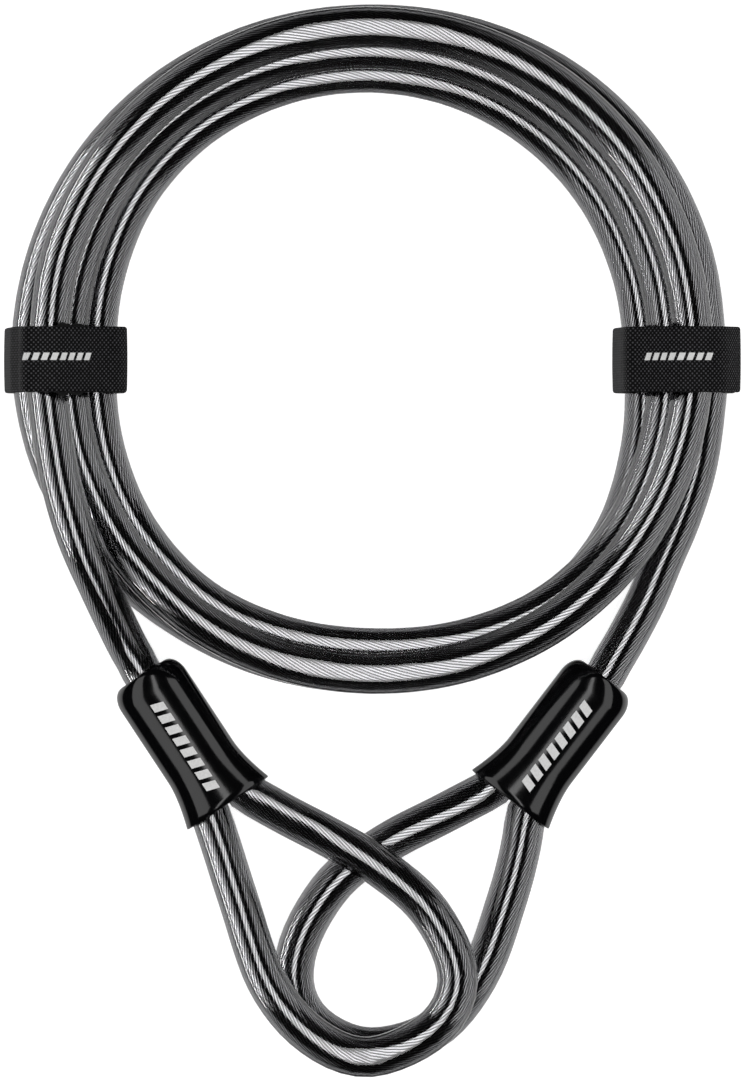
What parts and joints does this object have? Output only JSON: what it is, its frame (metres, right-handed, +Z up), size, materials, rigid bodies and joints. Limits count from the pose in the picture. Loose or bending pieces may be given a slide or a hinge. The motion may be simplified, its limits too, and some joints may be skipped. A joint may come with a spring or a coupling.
{
  "type": "looped security cable",
  "caption": "Sleeved steel security cable with an eye, ferrule and boot at each end, wound in a flat coil held by two hook-and-loop straps.",
  "frame": {"origin": "middle of the whole object's box, on the surface that it lies on", "axes": "+Z up from that surface, +Y from the eyes to the coil, +X to the side of the boot that lies on the surface"},
  "size_m": [0.1796, 0.2624, 0.0354],
  "materials": {
    "steel_wire": "bright galvanised wire rope, twisted",
    "clear_sleeve": "extruded smoke-clear PVC, glossy",
    "ferrule_alloy": "crimped, dull",
    "black_boot": "moulded black PVC, glossy",
    "black_webbing": "woven black nylon, matt",
    "hook_tape": "nylon hook tape",
    "loop_tape": "brushed nylon loop tape"
  },
  "bodies": {
    "root": {"wire_rope": "steel_wire", "coil_sleeve": "clear_sleeve", "left_eye_sleeve": "clear_sleeve", "right_eye_sleeve": "clear_sleeve", "left_ferrule": "ferrule_alloy", "right_ferrule": "ferrule_alloy", "left_boot": "black_boot", "right_boot": "black_boot"},
    "left_strap": {"left_strap_band": "black_webbing", "left_strap_loop_patch": "loop_tape"},
    "left_flap": {"left_strap_flap": "black_webbing", "left_strap_hook_patch": "hook_tape"},
    "right_strap": {"right_strap_band": "black_webbing", "right_strap_loop_patch": "loop_tape"},
    "right_flap": {"right_strap_flap": "black_webbing", "right_strap_hook_patch": "hook_tape"}
  },
  "joints": [
    {"name": "left_strap_slide", "type": "hinge", "parent": "root", "child": "left_strap", "pos_m": [0, 0.0439, 0], "axis": [0, 0, 1], "range_deg": [-3, 3]},
    {"name": "left_strap_peel", "type": "hinge", "parent": "left_strap", "child": "left_flap", "pos_m": [-0.08786, 0.0439, 0.02268], "axis": [0, -1, 0], "range_deg": [0, 150]},
    {"name": "right_strap_slide", "type": "hinge", "parent": "root", "child": "right_strap", "pos_m": [0, 0.0439, 0], "axis": [0, 0, 1], "range_deg": [-3, 3]},
    {"name": "right_strap_peel", "type": "hinge", "parent": "right_strap", "child": "right_flap", "pos_m": [0.06103, 0.0439, 0.02193], "axis": [0, -1, 0], "range_deg": [0, 150]}
  ]
}
